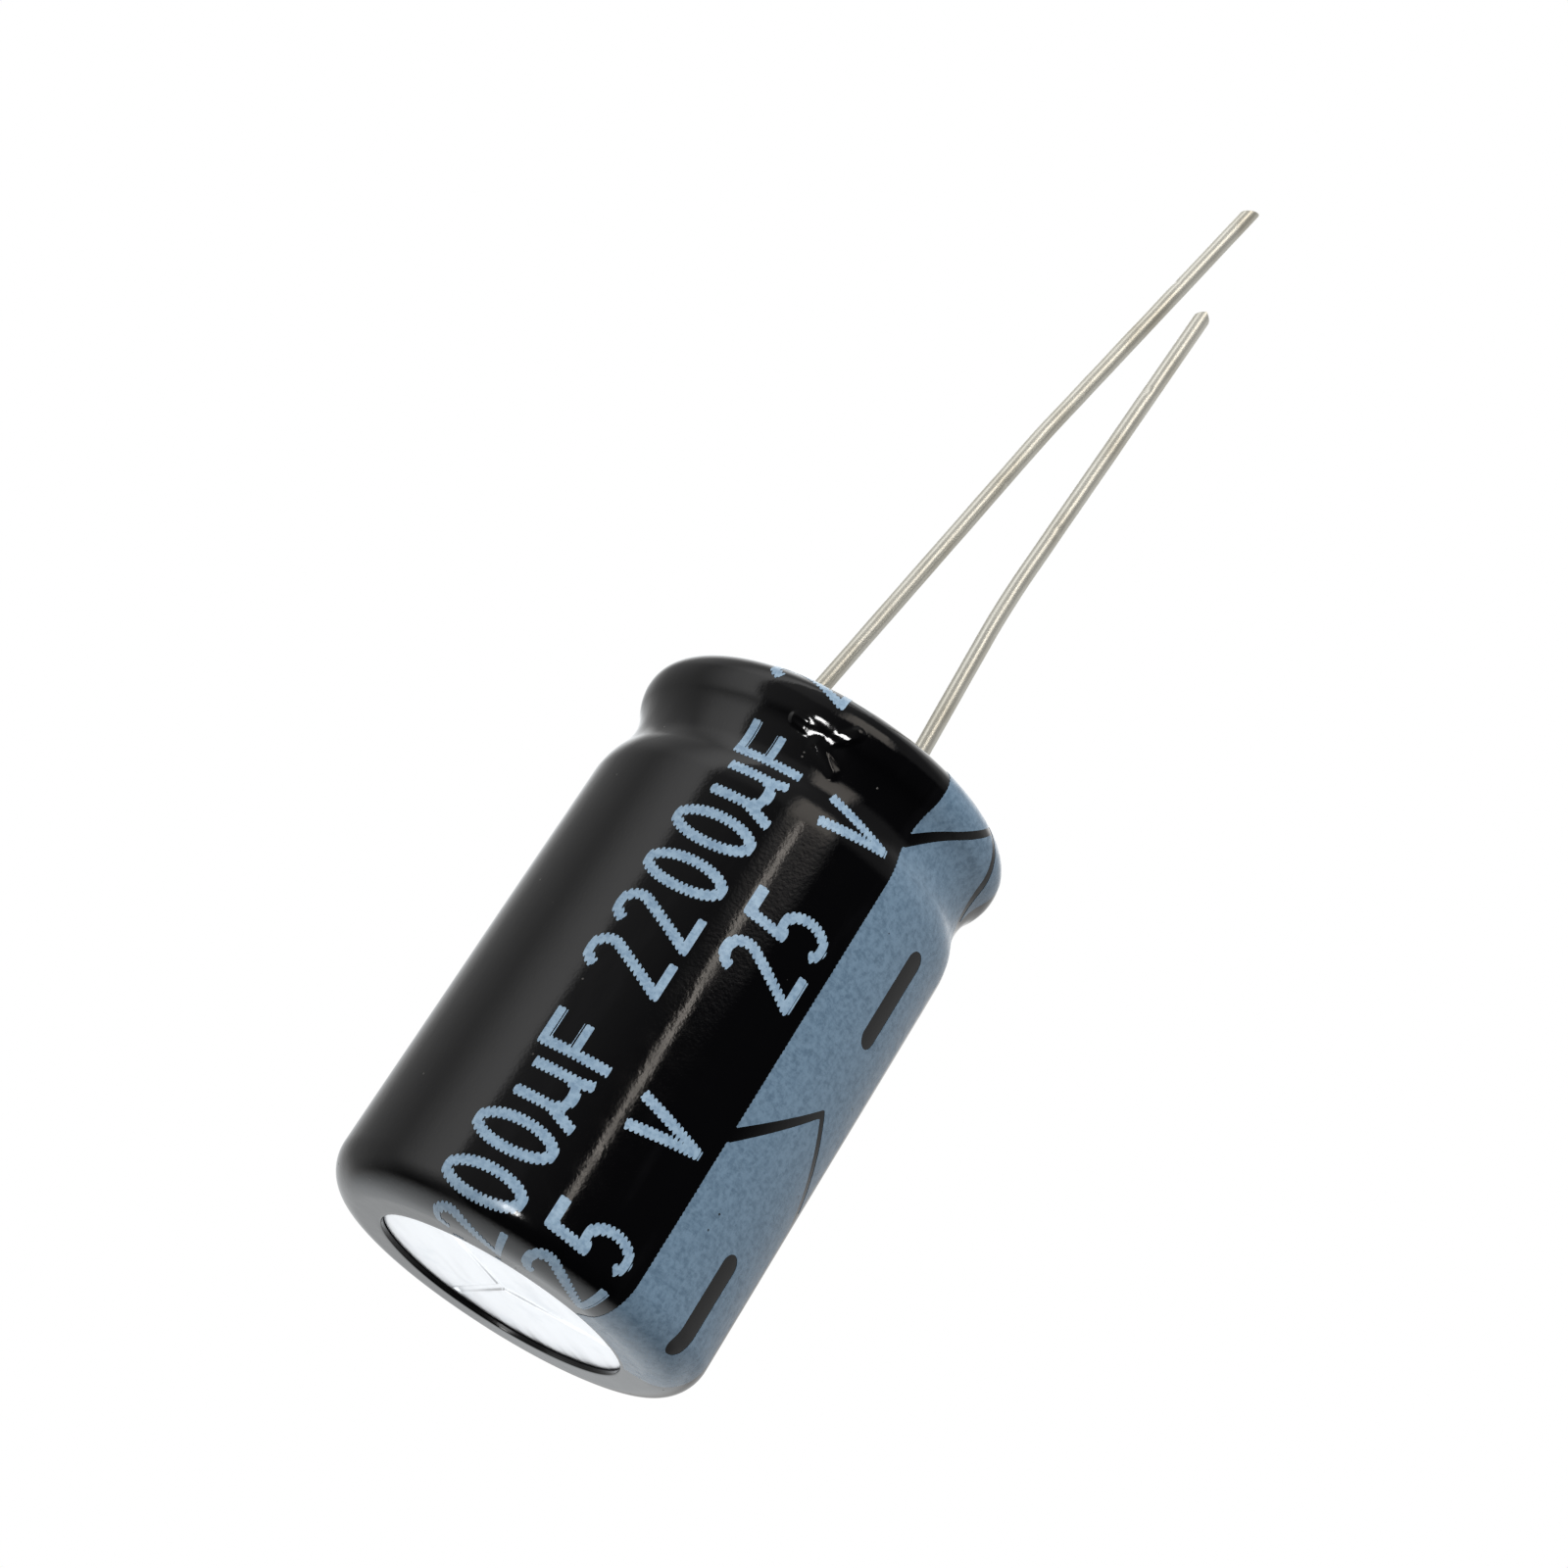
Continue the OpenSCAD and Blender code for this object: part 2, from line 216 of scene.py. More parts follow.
# Over the groove the shrunk film keeps a band pulled flat, a raised crease and a low hump, in a
# patch of fine crumples. A line's places are (azimuth, run) points, and a patch is its azimuth, its
# run and its half sizes round the wall and along the run.
FLAT_BAND = ((-71, 20.45), (-64, 20.3), (-60.5, 20.25), (-57, 20.6), (-54, 20.95))
FLAT_MIDDLE = -61.2
FLAT_REACH = 0.75
FLAT_HALF = 0.2
FLAT_EDGE = 0.06
FLAT_SLOPE = 0.018
FLAT_BOW = 0.086
CREASE = ((-62.5, 20.05), (-54, 19.55))
CREASE_HALF = 0.2
CREASE_H = 0.055
HUMP = (-65.5, 20.95, 0.8, 0.35)
HUMP_H = 0.04
CRUMPLE = (-62, 20.2, 1.2, 0.7)

# Waves of the film: all along it, over the crimped groove (fading out over CRIMP_HALF), in the
# crumpled patch, and of its cut edges at the window and at the lip
CRIMP_HALF = 1.5
WALL_WAVES = waves(3, 9, (1, 7), (0.02, 0.12), 0.006)
CRIMP_WAVES = waves(8, 12, (7, 26), (0.05, 0.35), 0.02)
CRUMPLE_WAVES = waves(21, 18, (70, 170), (0.8, 2.6), 0.005)
WINDOW_WAVES = waves(14, 7, (2, 9), (0, 0), 0.05)
LIP_WAVES = waves(15, 9, (2, 14), (0, 0), 0.08)


def line_distance(azimuth, run, line):
    """Distance on the sleeve from each place to a polyline of (azimuth in degrees, run) points"""
    stroke = [(math.radians(turn) * WALL_R, at) for turn, at in line]
    return stroke_distance(azimuth * WALL_R, run, [stroke])


def sleeve_shift(azimuth, run):
    """How far the shrunk sleeve's surface lies outside its plain outline"""
    crimp = np.exp(-(((run - (RUN_HOLLOW + RUN_SHOULDER) / 2) / CRIMP_HALF) ** 2))
    crumple = bump_at(azimuth, run, *CRUMPLE)
    along = np.clip((azimuth - math.radians(FLAT_MIDDLE)) * WALL_R, -FLAT_REACH, FLAT_REACH)
    flat_away = line_distance(azimuth, run, FLAT_BAND)
    flat = np.clip((FLAT_HALF + FLAT_EDGE - flat_away) / (2 * FLAT_EDGE), 0, 1)
    crease = np.exp(-((line_distance(azimuth, run, CREASE) / CREASE_HALF) ** 2))
    return -SKIN_BACK + WALL_WAVES(azimuth, run) + crimp * CRIMP_WAVES(azimuth, run) \
        + crumple * CRUMPLE_WAVES(azimuth, run) + CREASE_H * crease \
        + flat * (FLAT_SLOPE * along + FLAT_BOW * along**2) + HUMP_H * bump_at(azimuth, run, *HUMP)


def sleeve_points(azimuth, run, lift):
    """Points that lie lift outside the sleeve's surface"""
    point, normal = SLEEVE_LINE.at(run)
    out = lift + sleeve_shift(azimuth, run)
    radius = point[..., 0] + normal[..., 0] * out
    height = point[..., 1] + normal[..., 1] * out
    return np.stack([radius * np.cos(azimuth), radius * np.sin(azimuth), height], -1)


def mesh_piece(name, points, faces, material, sharp=None):
    """Object made of points in millimetres, smooth but for edges sharper than an angle"""
    data = bpy.data.meshes.new(name)
    data.from_pydata((np.asarray(points) * MM).tolist(), [], [list(map(int, f)) for f in faces])
    data.shade_smooth()
    if sharp:
        data.set_sharp_from_angle(angle=math.radians(sharp))
    data.materials.append(material)
    piece = bpy.data.objects.new(name, data)
    bpy.context.scene.collection.objects.link(piece)
    return piece


def ring_faces(rows, columns, joined):
    """Quads of a grid whose columns go all the way round; joined also ties its last row to its first"""
    row = np.arange(rows if joined else rows - 1)[:, None]
    column = np.arange(columns)[None, :]
    near, far = row * columns, (row + 1) % rows * columns
    across = (column + 1) % columns
    quads = np.stack([near + column, near + across, far + across, far + column], -1)
    return quads.reshape(-1, 4).tolist()


def capped_faces(rows, columns):
    """Faces of an open grid of rings, closed at each end by a fan round a middle point.
    The two middle points come after the grid's own."""
    total, last = rows * columns, (rows - 1) * columns
    turn = [(k, (k + 1) % columns) for k in range(columns)]
    fans = [(total, b, a) for a, b in turn] + [(total + 1, last + a, last + b) for a, b in turn]
    return ring_faces(rows, columns, False) + fans


def spaced(first, last, step):
    """Evenly spaced values from first up to, but without, last"""
    count = max(1, round((last - first) / step))
    return list(np.linspace(first, last, count + 1)[:-1])


def graded(stops, steps):
    """Values along the stretches between stops, each stretch with its own step"""
    stretches = zip(stops, stops[1:], steps)
    return [value for first, last, step in stretches for value in spaced(first, last, step)]


def corner_rows(thickness, radius):
    """(reach, depth) of the points that round both corners of a cut edge, outer corner first"""
    angles = np.radians(np.linspace(0, 90, 6))
    outer = [(-radius + radius * math.sin(a), radius - radius * math.cos(a)) for a in angles]
    inner = [(-radius + radius * math.cos(a), thickness - radius + radius * math.sin(a)) for a in angles]
    return outer + inner


# Steps of the sleeve's mesh along its outer and inner faces, and in degrees round it, finest where
# the film is crumpled. The pulls fade out over PULL_REACH from a cut edge.
OUTER_STEPS = (0.12, 0.08, 0.42, 0.12, 0.052, 0.08)
INNER_STEPS = (0.3, 0.2, 1.2, 0.3, 0.2)
SLEEVE_TURNS = (-180, -80, -46, 180)
TURN_STEPS = (1.15, 0.34, 1.15)
PULL_REACH = 0.8


def sleeve_section():
    """Rows (run, depth, pull at the window, pull at the lip) round the sleeve's closed section"""
    thickness = SLEEVE_WALL - SKIN_BACK
    first, last = (CUT_ROUND, RUN_CORNER, RUN_WALL, RUN_GROOVE), (RUN_LIP, RUN_END - CUT_ROUND)
    outer = graded(first + (RUN_HOLLOW,) + last, OUTER_STEPS)
    inner = graded(first + last, INNER_STEPS)
    rows = [(run, 0.0) for run in outer]
    rows += [(RUN_END + reach, depth) for reach, depth in corner_rows(thickness, CUT_ROUND)]
    rows += [(run, thickness) for run in reversed(inner)]
    rows += [(-reach, depth) for reach, depth in reversed(corner_rows(thickness, CUT_ROUND))][:-1]
    run, depth = np.array(rows).T
    window_pull = np.clip(1 - run / PULL_REACH, 0, 1)
    lip_pull = np.clip(1 - (RUN_END - run) / PULL_REACH, 0, 1)
    return run, depth, window_pull, lip_pull


def sleeve_piece(material):
    """The shrunk sleeve with its cut edges, its sag into the groove and its crumples"""
    turns = graded(SLEEVE_TURNS, TURN_STEPS)
    azimuth = np.radians(turns)[None, :]
    run, depth, window_pull, lip_pull = (row[:, None] for row in sleeve_section())
    run = run + window_pull * WINDOW_WAVES(azimuth, 0) - lip_pull * np.abs(LIP_WAVES(azimuth, 0))
    points = sleeve_points(azimuth + 0 * run, run, -depth)
    faces = ring_faces(len(run), len(turns), True)
    return mesh_piece("sleeve_skin", points.reshape(-1, 3), faces, material)


# The print. Its places are an arc, measured along the wall from azimuth 0, and a run. A row of signs
# stands on an azimuth, and the middle of its first sign is at a run.
PRINT_FIRST = 0.16
PRINT_LAST = RUN_END - 0.22
PRINT_PERIOD = 11.2
STROKE = 0.38
LETTER_H = 2.3
DIGIT_H = 2.86
SIGN_FOOT = -0.08
TOOTH_STEP = 0.16
TOOTH_DEPTH = 0.12
STRIPE_TOOTH_SHARE = 0.3
STRIPE_TOOTH_SHIFT = 0.03
ROW_1_AZIMUTH = -61.0
ROW_2_AZIMUTH = -29.6
ROW_1_RUN = 7.97
ROW_2_RUN = 7.1
STRIPE_HALF = 24.6
DASH_HALF = 0.42
DASH_RUN = (2.52, 5.28)
CHEVRON_FOOT = 8.2
CHEVRON_PERIOD = 11.05
CHEVRON_RISE = 2.65
CHEVRON_HALF = 0.12
CHEVRON_SPREAD = 0.08

# The ink's mesh: half the room that a sign takes along the run, how far a grid starts before the ink
# and ends past it, its steps round and along the wall, and the stripe's edges with their finer step
SIGN_REACH = 1.1
INK_BEFORE = 0.1
INK_PAST = 0.15
ROW_STEPS = (0.032, 0.052)
STRIPE_STEPS = (0.1, 0.055)
STRIPE_EDGE = (0.16, 0.05)
STRIPE_EDGE_STEP = 0.04

# No distance to a stroke matters beyond this
FAR = 9.0


def oval(x, y, half_x, half_y, first, last):
    """Points of an elliptical arc, angles in degrees"""
    angles = np.radians(np.linspace(first, last, 22))
    return [(x + half_x * math.cos(a), y + half_y * math.sin(a)) for a in angles]


# The signs, each as strokes: polylines of (across, up) points round the sign's middle
LOW, TOP = SIGN_FOOT + STROKE / 2, DIGIT_H - STROKE / 2
SIGNS = {
    "0": [oval(0, (LOW + TOP) / 2, 0.48, (TOP - LOW) / 2, 0, 360)],
    "2": [oval(0, TOP - 0.52, 0.47, 0.52, 165, -38) + [(-0.5, LOW), (0.62, LOW)]],
    "5": [[(0.55, TOP), (-0.32, TOP), (-0.42, 1.45)] + oval(-0.03, LOW + 0.74, 0.5, 0.74, 128, -140)],
    "mu": [[(-0.5, 2.2), (-0.5, 0.95), (-0.86, -0.02)], oval(0, 1.0, 0.5, 0.5, 180, 360),
           [(0.5, 2.15), (0.5, 0.55), (0.62, 0.12)]],
    "F": [[(0.76, LETTER_H), (-0.38, LETTER_H), (-0.38, 0)], [(-0.38, 1.25), (0.58, 1.25)]],
    "V": [[(-0.51, LETTER_H + 0.1), (0, 0.02), (0.51, LETTER_H + 0.1)]],
}
ROW_1 = (("F", 0), ("mu", -1.6), ("0", -3.34), ("0", -5.01), ("2", -6.68), ("2", -8.35))
ROW_2 = (("V", 0), ("5", -3.85), ("2", -5.52))


def stroke_distance(x, y, strokes, flat=0):
    """Distance from each point to the nearest of some polylines, or FAR.
    With flat, half a stroke's width, it is larger past an open end, which cuts that end off square."""
    best = np.full(x.shape, FAR)
    for stroke in strokes:
        away = np.full(x.shape, FAR)
        for (x0, y0), (x1, y1) in zip(stroke, stroke[1:]):
            way_x, way_y = x1 - x0, y1 - y0
            share = ((x - x0) * way_x + (y - y0) * way_y) / (way_x**2 + way_y**2)
            share = np.clip(share, 0, 1)
            away = np.minimum(away, np.hypot(x - x0 - share * way_x, y - y0 - share * way_y))
        if flat and math.dist(stroke[0], stroke[-1]) > 0.01:
            for end, inner in ((stroke[0], stroke[1]), (stroke[-1], stroke[-2])):
                length = math.dist(end, inner)
                out_x, out_y = (end[0] - inner[0]) / length, (end[1] - inner[1]) / length
                past = (x - end[0]) * out_x + (y - end[1]) * out_y
                beyond = (past > 0) & (np.hypot(x - end[0], y - end[1]) < 2 * flat)
                away = np.where(beyond, np.maximum(away, flat + past), away)
        best = np.minimum(best, away)
    return best


def tooth(place):
    """Notches that the printing cells leave along an edge"""
    uneven = 0.7 + 0.3 * np.cos(3.1 * place) * np.cos(1.7 * place + 1)
    return TOOTH_DEPTH * uneven * (0.5 + 0.5 * np.cos(2 * math.pi * place / TOOTH_STEP)) ** 3


def text_amount(arc, run, foot, first, row):
    """Above zero where a repeated row of signs is inked"""
    amount = np.full(arc.shape, -1.0)
    repeats = range(-1, math.ceil(RUN_END / PRINT_PERIOD) + 1)
    placed = [(first + place + k * PRINT_PERIOD, sign) for k in repeats for sign, place in row]
    for middle, sign in placed:
        near = np.nonzero(np.abs(run[0] - middle) < SIGN_REACH)[0]
        if len(near):
            span = slice(near[0], near[-1] + 1)
            x, y = run[:, span] - middle, foot - arc[:, span]
            here = STROKE / 2 - stroke_distance(x, y, SIGNS[sign], STROKE / 2)
            amount[:, span] = np.maximum(amount[:, span], np.minimum(here, y - SIGN_FOOT))
    return amount - tooth(arc)


def stripe_amount(arc, run):
    """Above zero on the negative lead's stripe, outside its dashes and chevrons"""
    half = math.radians(STRIPE_HALF) * WALL_R
    amount = half - np.abs(arc) - STRIPE_TOOTH_SHARE * tooth(run + STRIPE_TOOTH_SHIFT)
    for k in range(-1, 3):
        shift = k * PRINT_PERIOD
        dash = [[(0, DASH_RUN[0] + shift), (0, DASH_RUN[1] + shift)]]
        amount = np.minimum(amount, stroke_distance(arc, run, dash) - DASH_HALF)
        foot = CHEVRON_FOOT + k * CHEVRON_PERIOD
        chevron = [[(-half, foot), (0, foot + CHEVRON_RISE), (half, foot)]]
        thick = CHEVRON_HALF + CHEVRON_SPREAD * np.abs(arc) / half
        amount = np.minimum(amount, stroke_distance(arc, run, chevron) - thick)
    return amount


def inked_cells(arcs, runs, amount):
    """Places and polygons of the part of a grid where amount is above zero"""
    inside = amount > 0
    touched = inside[:-1, :-1] | inside[1:, :-1] | inside[1:, 1:] | inside[:-1, 1:]
    places, faces, known = [], [], {}

    def place(key, arc, run):
        if key not in known:
            known[key] = len(places)
            places.append((arc, run))
        return known[key]

    for i, j in np.argwhere(touched).tolist():
        ring = ((i, j), (i + 1, j), (i + 1, j + 1), (i, j + 1))
        face = []
        for k in range(4):
            p, q = ring[k], ring[(k + 1) % 4]
            if inside[p]:
                face.append(place(p, arcs[p[0]], runs[p[1]]))
            if inside[p] != inside[q]:
                p, q = min(p, q), max(p, q)
                share = amount[p] / (amount[p] - amount[q])
                face.append(place((p, q), arcs[p[0]] + share * (arcs[q[0]] - arcs[p[0]]),
                                  runs[p[1]] + share * (runs[q[1]] - runs[p[1]])))
        faces.append(face)
    return np.array(places), faces


def ink_piece(name, arcs, runs, amount, material):
    """Closed film of ink on the sleeve wherever amount is above zero"""
    runs_grid = np.broadcast_to(runs[None, :], amount.shape)
    amount = np.minimum(amount, np.minimum(runs_grid - PRINT_FIRST, PRINT_LAST - runs_grid) - 1e-4)
    places, tops = inked_cells(arcs, runs, amount)
    azimuth, run = places[:, 0] / WALL_R, places[:, 1]
    points = np.vstack([sleeve_points(azimuth, run, INK_LIFT), sleeve_points(azimuth, run, -INK_SUNK)])
    count = len(places)
    edges = {(a, b) for face in tops for a, b in zip(face, face[1:] + face[:1])}
    rims = [(a, a + count, b + count, b) for a, b in edges if (b, a) not in edges]
    bottoms = [[v + count for v in reversed(face)] for face in tops]
    return mesh_piece(name, points, tops + bottoms + rims, material, sharp=35)


def row_piece(name, foot_azimuth, first, row, material):
    """One row of signs, repeated along the sleeve and cut off by its ends"""
    foot = math.radians(foot_azimuth) * WALL_R
    arcs = np.arange(foot - DIGIT_H - INK_BEFORE, foot + INK_PAST, ROW_STEPS[0])
    runs = np.arange(PRINT_FIRST - INK_BEFORE, PRINT_LAST + INK_PAST, ROW_STEPS[1])
    arc, run = np.meshgrid(arcs, runs, indexing="ij")
    return ink_piece(name, arcs, runs, text_amount(arc, run, foot, first, row), material)


def stripe_piece(material):
    """The stripe that marks the negative lead"""
    half = math.radians(STRIPE_HALF) * WALL_R
    edge = list(np.arange(half - STRIPE_EDGE[0], half + STRIPE_EDGE[1], STRIPE_EDGE_STEP))
    between = spaced(STRIPE_EDGE[0] + STRIPE_EDGE_STEP - half, edge[0], STRIPE_STEPS[0])
    arcs = np.array([-a for a in reversed(edge)] + between + edge)
    runs = np.arange(PRINT_FIRST - INK_BEFORE, PRINT_LAST + INK_PAST, STRIPE_STEPS[1])
    arc, run = np.meshgrid(arcs, runs, indexing="ij")
    return ink_piece("shade_darkened_stripe_ink", arcs, runs, stripe_amount(arc, run), material)


# The can's base carries three scored arms, each a direction and a length, with a burr along both
# edges of each and a crinkle on one of them. An arm fades in over SCORE_FOOT and out over SCORE_TIP.
SCORE_CENTRE = (0.1, -0.3)
SCORE_ARMS = ((-91, 3.45), (18, 3.8), (142, 4.3))
SCORE_HALF = 0.13
SCORE_DEPTH = 0.06
SCORE_EDGE = 0.045
SCORE_FOOT = 0.15
SCORE_TIP = 0.2
BURR_AWAY = 0.06
BURR_HALF = 0.035
BURR_H = 0.010
CRINKLE_AT = (142, 3.9)
CRINKLE_HALF = 0.4
CRINKLE_LOWEST = -0.015
CRINKLE_WAVES = waves(31, 14, (1, 2), (1.5, 4.5), 0.03)


def along_arm(x, y, azimuth):
    """Distances along and across a direction from where the scored arms meet"""
    way_x, way_y = math.cos(math.radians(azimuth)), math.sin(math.radians(azimuth))
    x, y = x - SCORE_CENTRE[0], y - SCORE_CENTRE[1]
    return x * way_x + y * way_y, np.abs(y * way_x - x * way_y)


def score_shift(x, y):
    """How far the scored base lies above its plain face"""
    deepest = np.zeros(np.shape(x))
    burr = np.zeros(np.shape(x))
    for azimuth, length in SCORE_ARMS:
        along, across = along_arm(x, y, azimuth)
        ends = np.clip((along + SCORE_FOOT) / SCORE_FOOT, 0, 1)
        ends = ends * np.clip((length - along) / SCORE_TIP, 0, 1)
        groove = 1 - np.clip((across - SCORE_HALF + SCORE_EDGE) / (2 * SCORE_EDGE), 0, 1)
        deepest = np.maximum(deepest, ends * groove * groove * (3 - 2 * groove))
        edge = np.exp(-(((across - SCORE_HALF - BURR_AWAY) / BURR_HALF) ** 2))
        burr = np.maximum(burr, ends * edge)
    along, across = along_arm(x, y, CRINKLE_AT[0])
    crinkle = np.exp(-(((along - CRINKLE_AT[1]) ** 2 + across**2) / CRINKLE_HALF**2))
    crinkle = np.maximum(crinkle * CRINKLE_WAVES(3 * x, 2 * y + x), CRINKLE_LOWEST)
    return SCORE_DEPTH * deepest - BURR_H * burr * (1 - deepest) + crinkle


# Columns of the can's mesh, and its steps along the outer and inner faces, finest over the scores
CAN_COLUMNS = 348
CAN_FIRST = 0.04
CAN_INNER_FIRST = 1.0
SCORED_R = 4.5
CAN_OUTER_STEPS = (0.036, 0.15, 0.14, 1.4, 0.16, 0.07)
CAN_INNER_STEPS = (1.0, 0.3, 2.4, 0.2, 0.16)


def can_section():
    """Points (radius, height) round the can's section, and how many are on its outer face"""
    stops = CAN_LINE.stops
    last = (stops[1], stops[2], stops[3], stops[6], stops[7] - CUT_ROUND)
    outer = graded((CAN_FIRST, SCORED_R) + last, CAN_OUTER_STEPS)
    inner = graded((CAN_INNER_FIRST,) + last, CAN_INNER_STEPS)
    rows = [(run, 0.0) for run in outer]
    rows += [(stops[7] + reach, depth) for reach, depth in corner_rows(CAN_WALL, CUT_ROUND)]
    rows += [(run, CAN_WALL) for run in reversed(inner)]
    run, depth = np.array(rows).T
    base_share = np.interp(run, (stops[1], stops[2]), (1, 0))
    depth = depth + np.where(depth >= CAN_WALL - 1e-9, base_share * (BASE_T - CAN_WALL), 0)
    point, normal = CAN_LINE.at(run)
    return point - normal * depth[:, None], len(outer)


def can_piece(material):
    """The drawn can with its scored base, rolled groove and curled lip"""
    section, outer_rows = can_section()
    azimuth = np.arange(CAN_COLUMNS)[None, :] * 2 * math.pi / CAN_COLUMNS
    x, y = section[:, :1] * np.cos(azimuth), section[:, :1] * np.sin(azimuth)
    z = np.broadcast_to(section[:, 1:], x.shape) + 0
    on_base = z[:outer_rows] < CAN_LOW.z + 0.01
    z[:outer_rows] += np.where(on_base, score_shift(x[:outer_rows], y[:outer_rows]), 0)
    middles = [(0, 0, CAN_LOW.z + SCORE_DEPTH * 0.5), (0, 0, section[-1, 1])]
    points = np.vstack([np.stack([x, y, z], -1).reshape(-1, 3), middles])
    return mesh_piece("can_shell", points, capped_faces(len(section), CAN_COLUMNS), material)


def lathe_piece(name, section, columns, material, centre=(0, 0), wobble=None, sharp=None):
    """Solid of revolution about a vertical axis; its section starts and ends on the axis"""
    section = np.array(section, float)
    azimuth = np.arange(columns)[None, :] * 2 * math.pi / columns
    body = section[1:-1]
    radius = np.broadcast_to(body[:, :1], (len(body), columns)) + 0
    height = np.broadcast_to(body[:, 1:], (len(body), columns)) + 0
    if wobble:
        radius, height = wobble(azimuth, radius, height)
    x, y = centre[0] + radius * np.cos(azimuth), centre[1] + radius * np.sin(azimuth)
    ends = [(centre[0], centre[1], section[0, 1]), (centre[0], centre[1], section[-1, 1])]
    points = np.vstack([np.stack([x, y, height], -1).reshape(-1, 3), ends])
    return mesh_piece(name, points, capped_faces(len(body), columns), material, sharp)


# The seal's finish: the round of its rim, how far its face sinks towards the rim, and the ends in
# degrees of the arcs that it takes from the underside and the inner side of the curled lip
RIM_ROUND = 0.12
CROWN = 0.03
UNDER_CURL = (293, 204)
BESIDE_CURL = (199, 182)


def bung_section():
    """Half section of the rubber seal, squeezed by the groove and the curled lip"""
    inner = CAN_WALL + SEAL_GAP
    stops = CAN_LINE.stops
    side_run = np.linspace(stops[3] - 1.0, stops[5], 26)
    point, normal = CAN_LINE.at(side_run)
    side = point - normal * inner
    hub_z = BUNG_LOW.z + HUB_H
    side = side[side[:, 1] > hub_z + 0.05]

    def arc(x, z, radius, first, last, count):
        angles = np.radians(np.linspace(first, last, count))
        return [(x + radius * math.cos(a), z + radius * math.sin(a)) for a in angles]

    under_curl = arc(CURL_X, CURL_Z, CURL_R - inner, *UNDER_CURL, 14)
    under_curl += arc(CURL_X, CURL_Z, CURL_R + SEAL_GAP, *BESIDE_CURL, 14)
    rim_r = CURL_X - CURL_R - SEAL_GAP
    flat_r = rim_r - RIM_ROUND
    rim = arc(flat_r, BUNG_HIGH.z - RIM_ROUND, RIM_ROUND, 0, 90, 7)
    top = [(r, BUNG_HIGH.z - CROWN * (r / rim_r) ** 6) for r in np.linspace(flat_r - 0.1, 0.1, 24)]
    hub = [(0, BUNG_LOW.z), (HUB_R, BUNG_LOW.z), (HUB_R, hub_z), (side[0][0], hub_z)]
    return hub + side.tolist() + under_curl + rim + top + [(0, BUNG_HIGH.z)]


def hole_section():
    """Half section of what a lead hole and its dish take out of the seal"""
    bore_r = BOSS_R + SEAL_GAP
    dish_z = BUNG_HIGH.z - DISH_DEPTH
    low_z, high_z, mouth_r = BUNG_LOW.z - 0.4, BUNG_HIGH.z + 1, DISH_R + 0.15
    bore = [(0, low_z), (bore_r, low_z), (bore_r, dish_z - 0.1), (bore_r + 0.01, dish_z - 0.03)]
    flare = [(bore_r + (DISH_R - bore_r) * t, dish_z + DISH_DEPTH * (3 * t * t - 2 * t**3) + 0.002)
             for t in np.linspace(0.06, 0.97, 12)]
    return bore + flare + [(mouth_r, BUNG_HIGH.z + 0.02), (mouth_r, high_z), (0, high_z)]


def bung_piece(material):
    """The rubber seal, with a moulded dish round each lead hole"""
    seal = lathe_piece("seal", bung_section(), 160, material, sharp=50)
    for side in (-1, 1):
        tool = lathe_piece("cutter", hole_section(), 96, material, centre=(side * PITCH / 2, 0))
        cut = seal.modifiers.new("hole", "BOOLEAN")
        cut.operation = "DIFFERENCE"
        cut.solver = "EXACT"
        cut.object = tool
        bpy.context.view_layer.objects.active = seal
        bpy.ops.object.modifier_apply(modifier="hole")
        bpy.data.objects.remove(tool)
    seal.data.shade_smooth()
    seal.data.set_sharp_from_angle(angle=math.radians(40))
    return seal


# Half section of a weld, in (radius, height above its foot)
WELD_SECTION = ((0, -0.02), (BOSS_R - 0.01, -0.02), (BOSS_R + 0.005, 0.02), (BOSS_R - 0.05, 0.06),
                (0.8, 0.13), (0.66, 0.23), (0.52, 0.32), (0.43, 0.40), (0.37, 0.48), (0.325, 0.58),
                (WIRE_R, 0.66), (0, 0.66))


def weld_piece(name, side, seed, material):
    """Lumpy cone of metal where the tinned wire is welded to the aluminium boss"""
    lump = waves(seed, 8, (2, 9), (0.3, 1.2), 0.035)
    section = [(radius, TAB_HIGH.z - WELD_H + height) for radius, height in WELD_SECTION]

    def wobble(azimuth, radius, height):
        off_edge = np.clip((BOSS_R - 0.03 - radius) / 0.2, 0, 1)
        off_wire = np.clip((radius - 0.28) / 0.05, 0, 1)
        push = off_edge * off_wire * lump(azimuth, height * 3)
        return radius + push, height + 0.5 * push

    return lathe_piece(name, section, 48, material, centre=(side * PITCH / 2, 0), wobble=wobble, sharp=60)


# The wires: mesh step and columns, waviness of the surface, and the length that the nipped tip
# takes, with its rings as (share of that length, share of the radius)
WIRE_STEP = 0.1
WIRE_COLUMNS = 32
WIRE_WAVE = 0.006
TIP_LENGTH = 0.6
TIP_RINGS = [(s, 1.0) for s in np.linspace(0.15, 0.97, 8)] + [(1, 0.97), (1, 0.86), (1, 0.6), (1, 0.3)]


